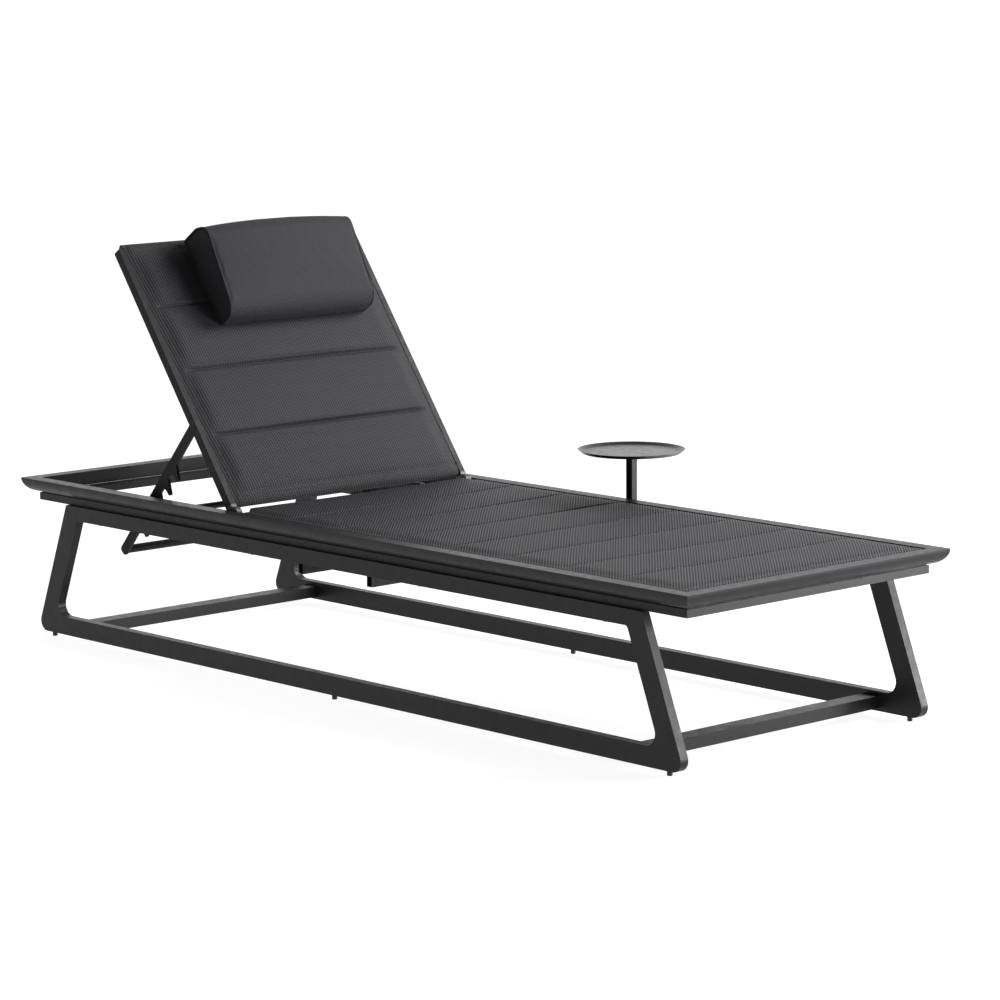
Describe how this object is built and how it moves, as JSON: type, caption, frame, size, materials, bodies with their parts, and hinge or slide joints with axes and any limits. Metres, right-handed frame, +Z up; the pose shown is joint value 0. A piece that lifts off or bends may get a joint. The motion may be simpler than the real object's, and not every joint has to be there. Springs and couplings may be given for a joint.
{
  "type": "reclining sun lounger",
  "caption": "Sun lounger on two trapezoid side frames, padded sling seat, reclining padded sling backrest on a notched strut, headrest pillow, round side table",
  "frame": {"origin": "floor, at the middle of the overall box in plan", "axes": "+Y towards the head end, +Z up, +X towards the side table, which is on the left of a person lying on their back"},
  "size_m": [0.8576, 2.05, 0.9146],
  "materials": {
    "frame_paint": "satin dark graphite powder coat on aluminium tube",
    "strut_paint": "satin dark graphite powder coat on steel",
    "tray_paint": "satin dark graphite powder coat",
    "steel": "plated steel",
    "padded_sling": "charcoal coated mesh cloth, padded and sewn in channels",
    "pillow_cloth": "charcoal fine woven outdoor cloth",
    "strap_web": "charcoal webbing",
    "black_plastic": "black plastic",
    "grey_plastic": "light grey plastic"
  },
  "bodies": {
    "frame": {"deck_rail_right": "frame_paint", "deck_rail_left": "frame_paint", "deck_rail_head": "frame_paint", "deck_rail_foot": "frame_paint", "sub_rail_right": "frame_paint", "sub_rail_left": "frame_paint", "sub_rail_head": "frame_paint", "sub_rail_foot": "frame_paint", "right_runner": "frame_paint", "right_head_leg": "frame_paint", "right_foot_leg": "frame_paint", "right_top_rail": "frame_paint", "left_runner": "frame_paint", "left_head_leg": "frame_paint", "left_foot_leg": "frame_paint", "left_top_rail": "frame_paint", "head_stretcher": "frame_paint", "foot_stretcher": "frame_paint", "cross_member_head": "frame_paint", "cross_member_foot": "frame_paint", "glides": "black_plastic", "frame_screws": "steel", "seat_track_right": "frame_paint", "seat_track_left": "frame_paint", "seat_sling": "padded_sling", "seat_head_tube": "frame_paint", "seat_foot_tube": "frame_paint", "hinge_pins": "steel", "support_bar": "strut_paint", "table_bracket": "frame_paint", "table_bracket_screws": "steel"},
    "backrest": {"back_tube_right": "frame_paint", "back_tube_left": "frame_paint", "back_tube_cap_right": "black_plastic", "back_tube_cap_left": "black_plastic", "back_top_bar": "frame_paint", "back_bottom_bar": "frame_paint", "back_sling": "padded_sling", "hinge_knuckle_right": "grey_plastic", "hinge_knuckle_left": "grey_plastic", "strut_lug_right": "strut_paint", "strut_lug_left": "strut_paint", "strut_pins": "steel", "pillow_strap": "strap_web"},
    "strut": {"strut_arm_right": "strut_paint", "strut_arm_left": "strut_paint", "strut_bar": "strut_paint"},
    "headrest": {"pillow": "pillow_cloth"},
    "headrest_weight": {"pillow_weight": "pillow_cloth"},
    "side_table": {"table_post": "frame_paint", "table_hub": "tray_paint", "table_tray": "tray_paint"}
  },
  "joints": [
    {"name": "recline", "type": "hinge", "parent": "frame", "child": "backrest", "pos_m": [0, 0.327, 0.343], "axis": [-1, 0, 0], "range_deg": [0, 54.4]},
    {"name": "strut_swing", "type": "hinge", "parent": "backrest", "child": "strut", "pos_m": [0, 0.46675, 0.52274], "axis": [1, 0, 0], "range_deg": [0, 102]},
    {"name": "headrest_slide", "type": "slide", "parent": "backrest", "child": "headrest", "axis": [0, -0.5821, -0.8131], "range_m": [0, 0.055]},
    {"name": "weight_rise", "type": "slide", "parent": "backrest", "child": "headrest_weight", "axis": [0, 0.5821, 0.8131], "range_m": [0, 0.055]},
    {"name": "table_lift", "type": "slide", "parent": "frame", "child": "side_table", "axis": [0, 0, 1], "range_m": [0, 0.028]}
  ],
  "couplings": [
    {"joint": "strut_swing", "follows": "recline", "ratio": 1.86},
    {"joint": "weight_rise", "follows": "headrest_slide", "ratio": 1}
  ]
}
